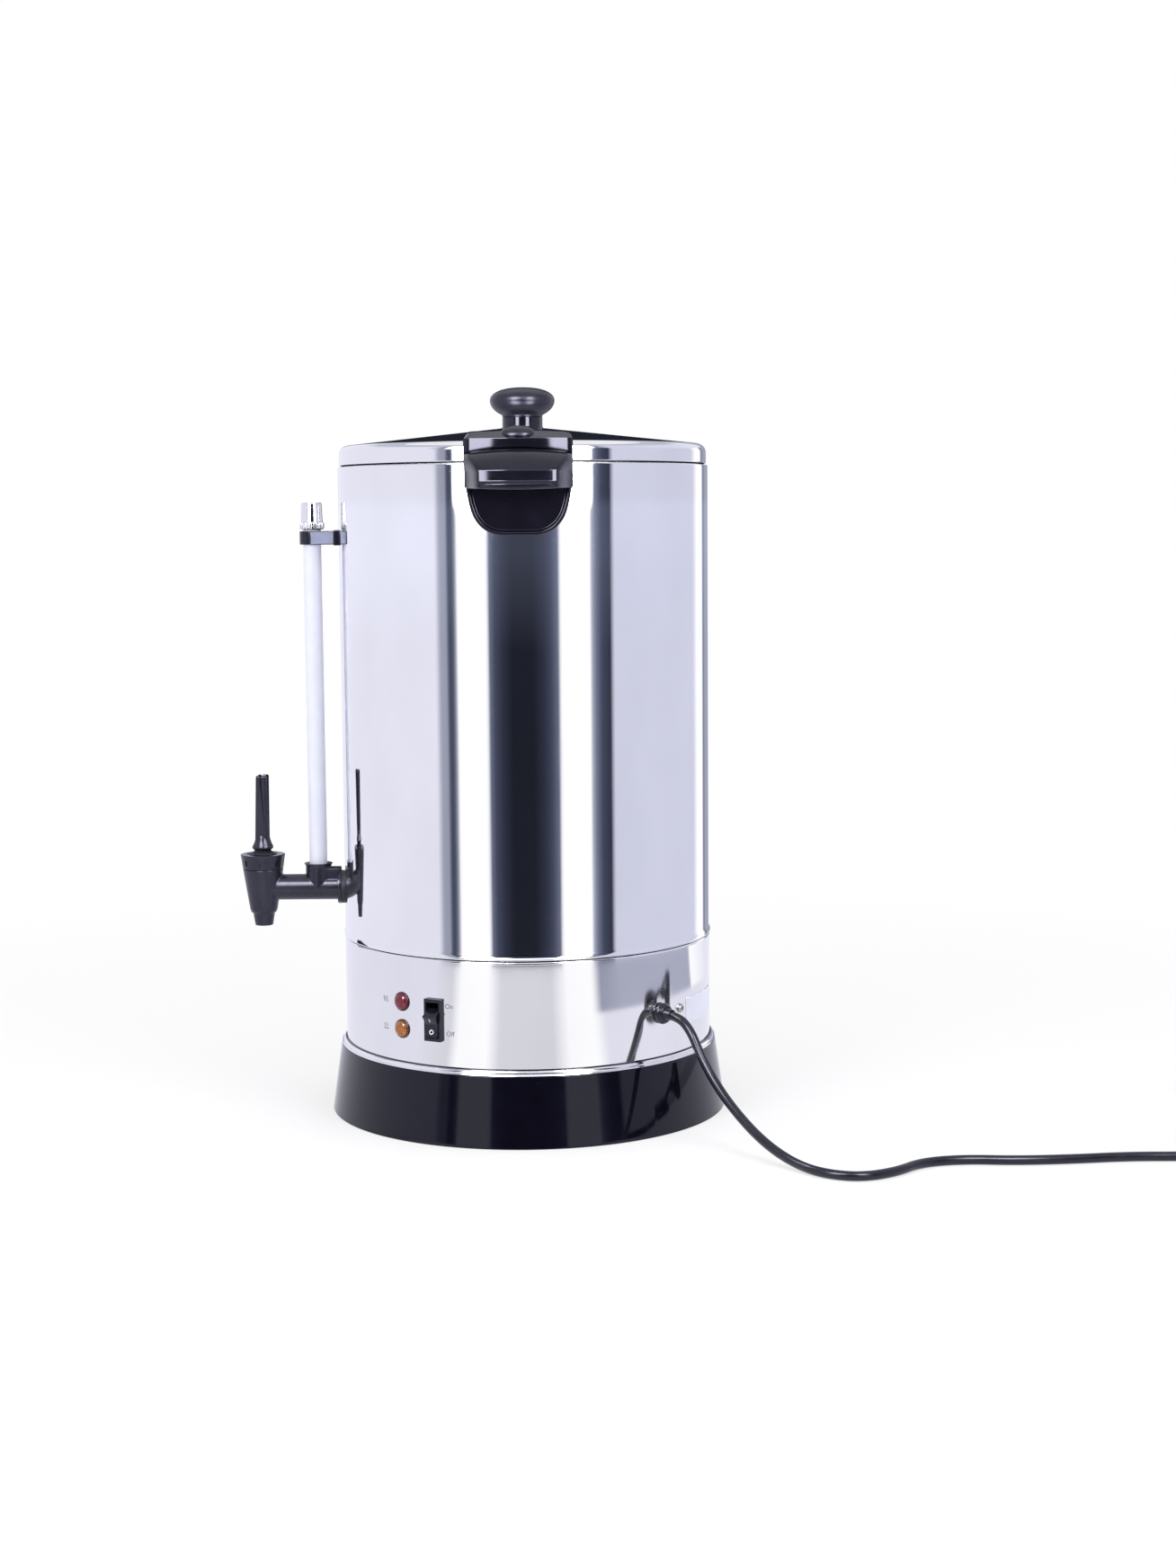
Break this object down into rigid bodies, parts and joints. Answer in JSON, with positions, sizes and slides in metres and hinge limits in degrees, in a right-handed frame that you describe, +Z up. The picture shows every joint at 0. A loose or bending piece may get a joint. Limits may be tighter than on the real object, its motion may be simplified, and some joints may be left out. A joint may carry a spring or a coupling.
{
  "type": "hot water urn",
  "caption": "Upright steel hot water urn with a lever tap, sight gauge, lid with knob, side handles, rocker switch and mains lead.",
  "frame": {"origin": "on the urn's axis, in the plane of the floor that its base stands on", "axes": "+Z up along the urn's axis, the tap faces -Y, the side handles are at +X and -X, and the switch and the lead are on the +X side"},
  "size_m": [0.4277, 0.7879, 0.5505],
  "materials": {
    "polished_steel": "mirror-polished stainless sheet",
    "brushed_steel": "fine horizontal brushing",
    "sheet_steel": "plain rolled stainless or zinc-plated sheet",
    "chrome": "bright plated",
    "screw_steel": "zinc-plated",
    "black_gloss": "glossy moulded plastic",
    "black_satin": "satin moulded plastic",
    "tap_plastic": "satin moulded plastic",
    "white_plastic": "plain moulded plastic",
    "black_rubber": "matt rubber",
    "silicone": "soft food-safe seal",
    "gauge_tube": "milky translucent tube",
    "lamp_red": "clear red moulded lens",
    "lamp_amber": "clear amber moulded lens",
    "cord_black": "smooth sheathing, slight sheen",
    "brass": "nickel-free brass",
    "heater_aluminium": "cast plate",
    "element_steel": "heat-tinted tube",
    "label_silver": "blank printed foil"
  },
  "bodies": {
    "root": {"band_tabs": "sheet_steel", "base_screws": "screw_steel", "base_skirt": "black_gloss", "bottom_cover": "sheet_steel", "bracket_screw": "screw_steel", "cap_ring": "tap_plastic", "cord_coil": "cord_black", "cord_gland": "black_rubber", "cord_tail": "cord_black", "cord_tie": "black_satin", "earth_screw": "screw_steel", "gauge_bracket": "tap_plastic", "gauge_seal": "silicone", "gauge_tube": "gauge_tube", "handle_bracings": "sheet_steel", "handle_screws": "screw_steel", "heater_clamp": "sheet_steel", "heater_plate": "heater_aluminium", "heating_element": "element_steel", "heating_lamp": "lamp_red", "inner_gasket": "silicone", "inner_tank": "sheet_steel", "inner_wires": "cord_black", "lamp_holders": "white_plastic", "left_handle": "black_gloss", "lower_band": "brushed_steel", "outer_gasket": "black_rubber", "outer_shell": "polished_steel", "plug_body": "black_rubber", "plug_pins": "chrome", "power_cord": "cord_black", "rating_plate": "label_silver", "right_handle": "black_gloss", "rubber_feet": "black_rubber", "stem_boot": "black_rubber", "switch_housing": "black_gloss", "switch_terminals": "brass", "tap_body": "tap_plastic", "tap_bonnet": "tap_plastic", "tap_nut": "tap_plastic", "tap_spacer": "white_plastic", "tap_spring": "screw_steel", "terminal_block": "white_plastic", "thermostats": "white_plastic", "trim_ring": "polished_steel", "warm_lamp": "lamp_amber"},
    "lid": {"lid_shell": "polished_steel", "knob_collar": "black_satin", "lid_knob": "black_satin", "knob_screw": "screw_steel", "right_catch": "black_gloss", "left_catch": "black_gloss", "catch_screws": "screw_steel"},
    "tap_stem": {"tap_stem": "sheet_steel", "seat_cup": "silicone", "lever_pin": "screw_steel"},
    "tap_lever": {"tap_lever": "tap_plastic"},
    "switch_rocker": {"switch_rocker": "black_gloss"},
    "gauge_cap": {"gauge_cap": "chrome"}
  },
  "joints": [
    {"name": "lid_lift", "type": "slide", "parent": "root", "child": "lid", "axis": [0, 0, 1], "range_m": [0, 0.12]},
    {"name": "stem_lift", "type": "slide", "parent": "root", "child": "tap_stem", "axis": [0, 0, 1], "range_m": [0, 0.005], "stiffness_N_per_m": 300, "springref_m": -0.008, "deforming": ["tap_spring"]},
    {"name": "lever_tilt", "type": "hinge", "parent": "tap_stem", "child": "tap_lever", "pos_m": [0, -0.204, 0.2048], "axis": [1, 0, 0], "range_deg": [0, 41]},
    {"name": "rocker_switch", "type": "hinge", "parent": "root", "child": "switch_rocker", "pos_m": [0.11628, -0.06183, 0.0902], "axis": [-0.4695, -0.8829, 0], "range_deg": [0, 31]},
    {"name": "gauge_cap_pull", "type": "slide", "parent": "root", "child": "gauge_cap", "axis": [0, 0, 1], "range_m": [0, 0.03]}
  ],
  "couplings": [
    {"joint": "lever_tilt", "follows": "stem_lift", "rad_per_m": 139.63}
  ]
}
